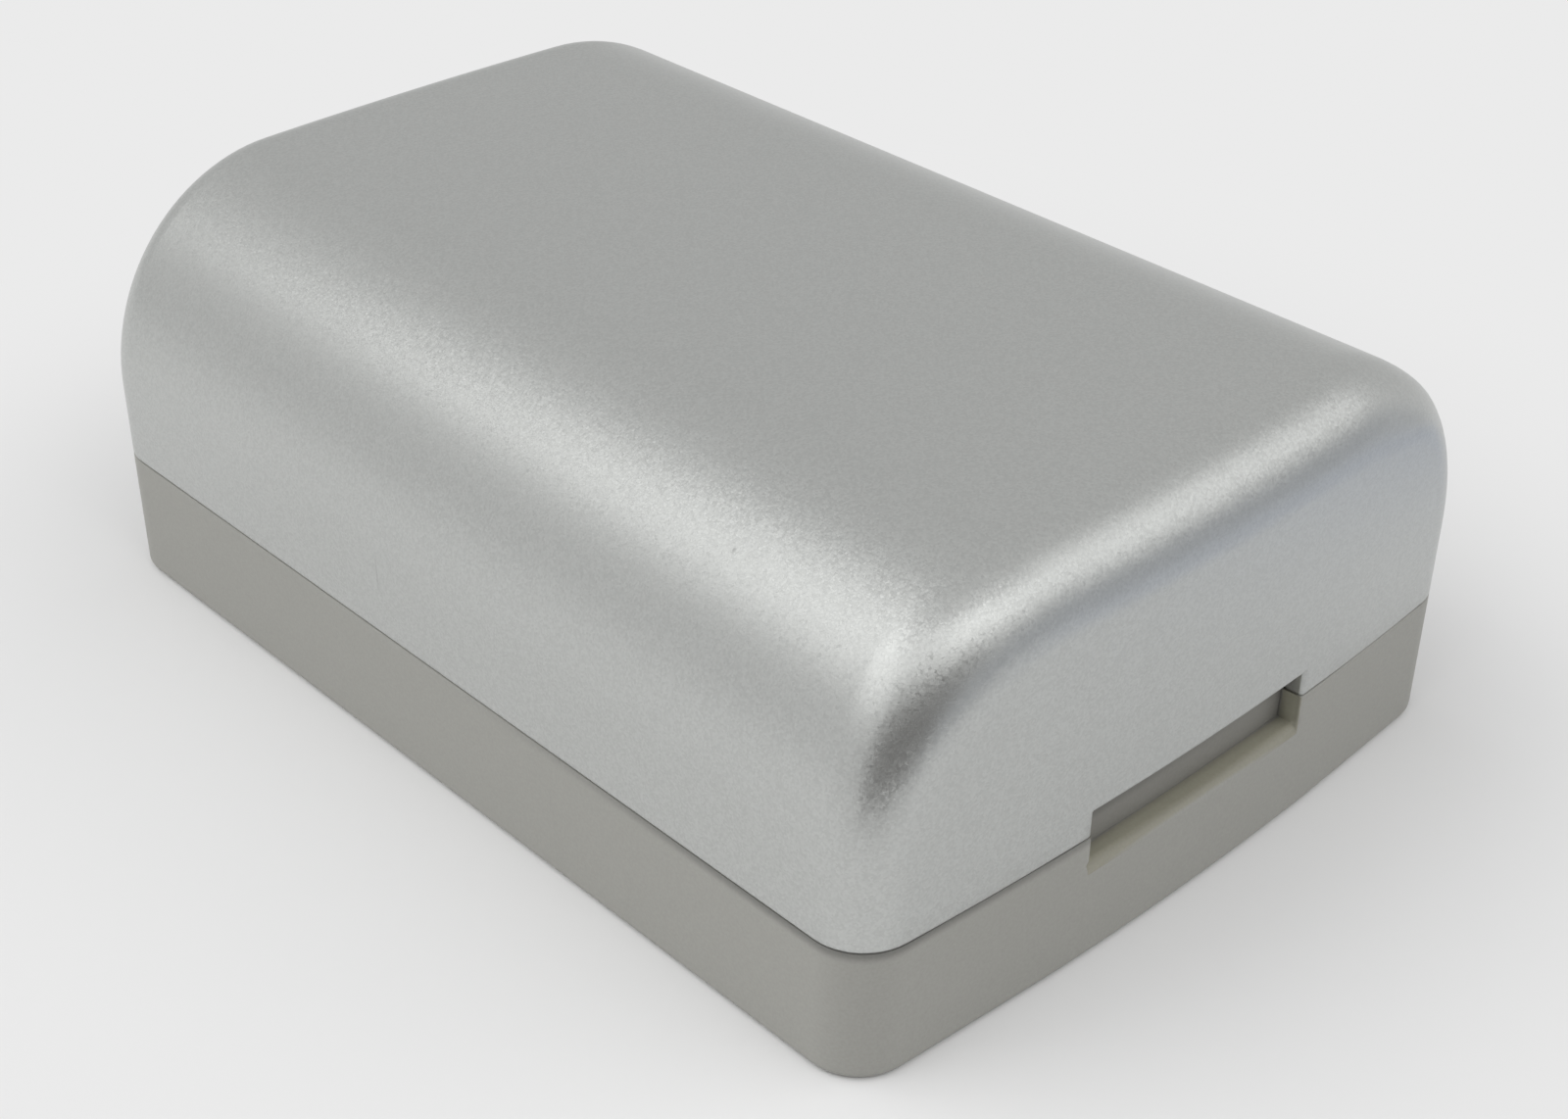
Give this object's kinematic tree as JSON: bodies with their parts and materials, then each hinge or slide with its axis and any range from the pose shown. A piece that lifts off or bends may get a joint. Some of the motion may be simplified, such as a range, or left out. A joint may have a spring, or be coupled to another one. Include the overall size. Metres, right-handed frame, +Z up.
{
  "type": "camera battery",
  "caption": "Rechargeable camera battery: round-shouldered silver cover on a grey tray, with a catch notch across the seam at one end and contact windows at the other.",
  "frame": {"origin": "centre of the flat bottom face of the grey tray", "axes": "+X to the right seen from the notch end, +Y along the length from the notch end to the contact end, +Z up from the grey tray to the silver cover"},
  "size_m": [0.039, 0.055, 0.0208],
  "materials": {
    "cover_paint": "satin silver paint with a fine flake",
    "case_plastic": "fine matte moulding",
    "can_steel": "plated",
    "sleeve_film": "shrunk film",
    "ring_paper": "pressed",
    "nickel_strip": "rolled",
    "sheet_paper": "pressed insulating sheet",
    "board_laminate": "coated",
    "package_resin": "moulded",
    "resistor_body": "coated",
    "capacitor_body": "fired",
    "fuse_body": "fired",
    "contact_plating": "gold plated",
    "bed_adhesive": "cured",
    "pad_foam": "closed cell foam"
  },
  "bodies": {
    "root": {"upper_cover": "cover_paint", "lower_case": "case_plastic", "cell_left": "can_steel", "cell_right": "can_steel", "cell_left_sleeve": "sleeve_film", "cell_right_sleeve": "sleeve_film", "cell_left_ring": "ring_paper", "cell_right_ring": "ring_paper", "series_strip": "nickel_strip", "positive_tab": "nickel_strip", "negative_tab": "nickel_strip", "midpoint_strip": "nickel_strip", "front_insulator": "sheet_paper", "board_insulator": "sheet_paper", "protection_board": "board_laminate", "protection_chip": "package_resin", "switching_transistor": "package_resin", "chip_resistors": "resistor_body", "chip_capacitors": "capacitor_body", "thermistor": "capacitor_body", "chip_fuse": "fuse_body", "contact_positive": "contact_plating", "contact_temperature": "contact_plating", "contact_negative": "contact_plating", "adhesive_bed_left": "bed_adhesive", "adhesive_bed_right": "bed_adhesive", "foam_pad": "pad_foam"}
  },
  "joints": []
}
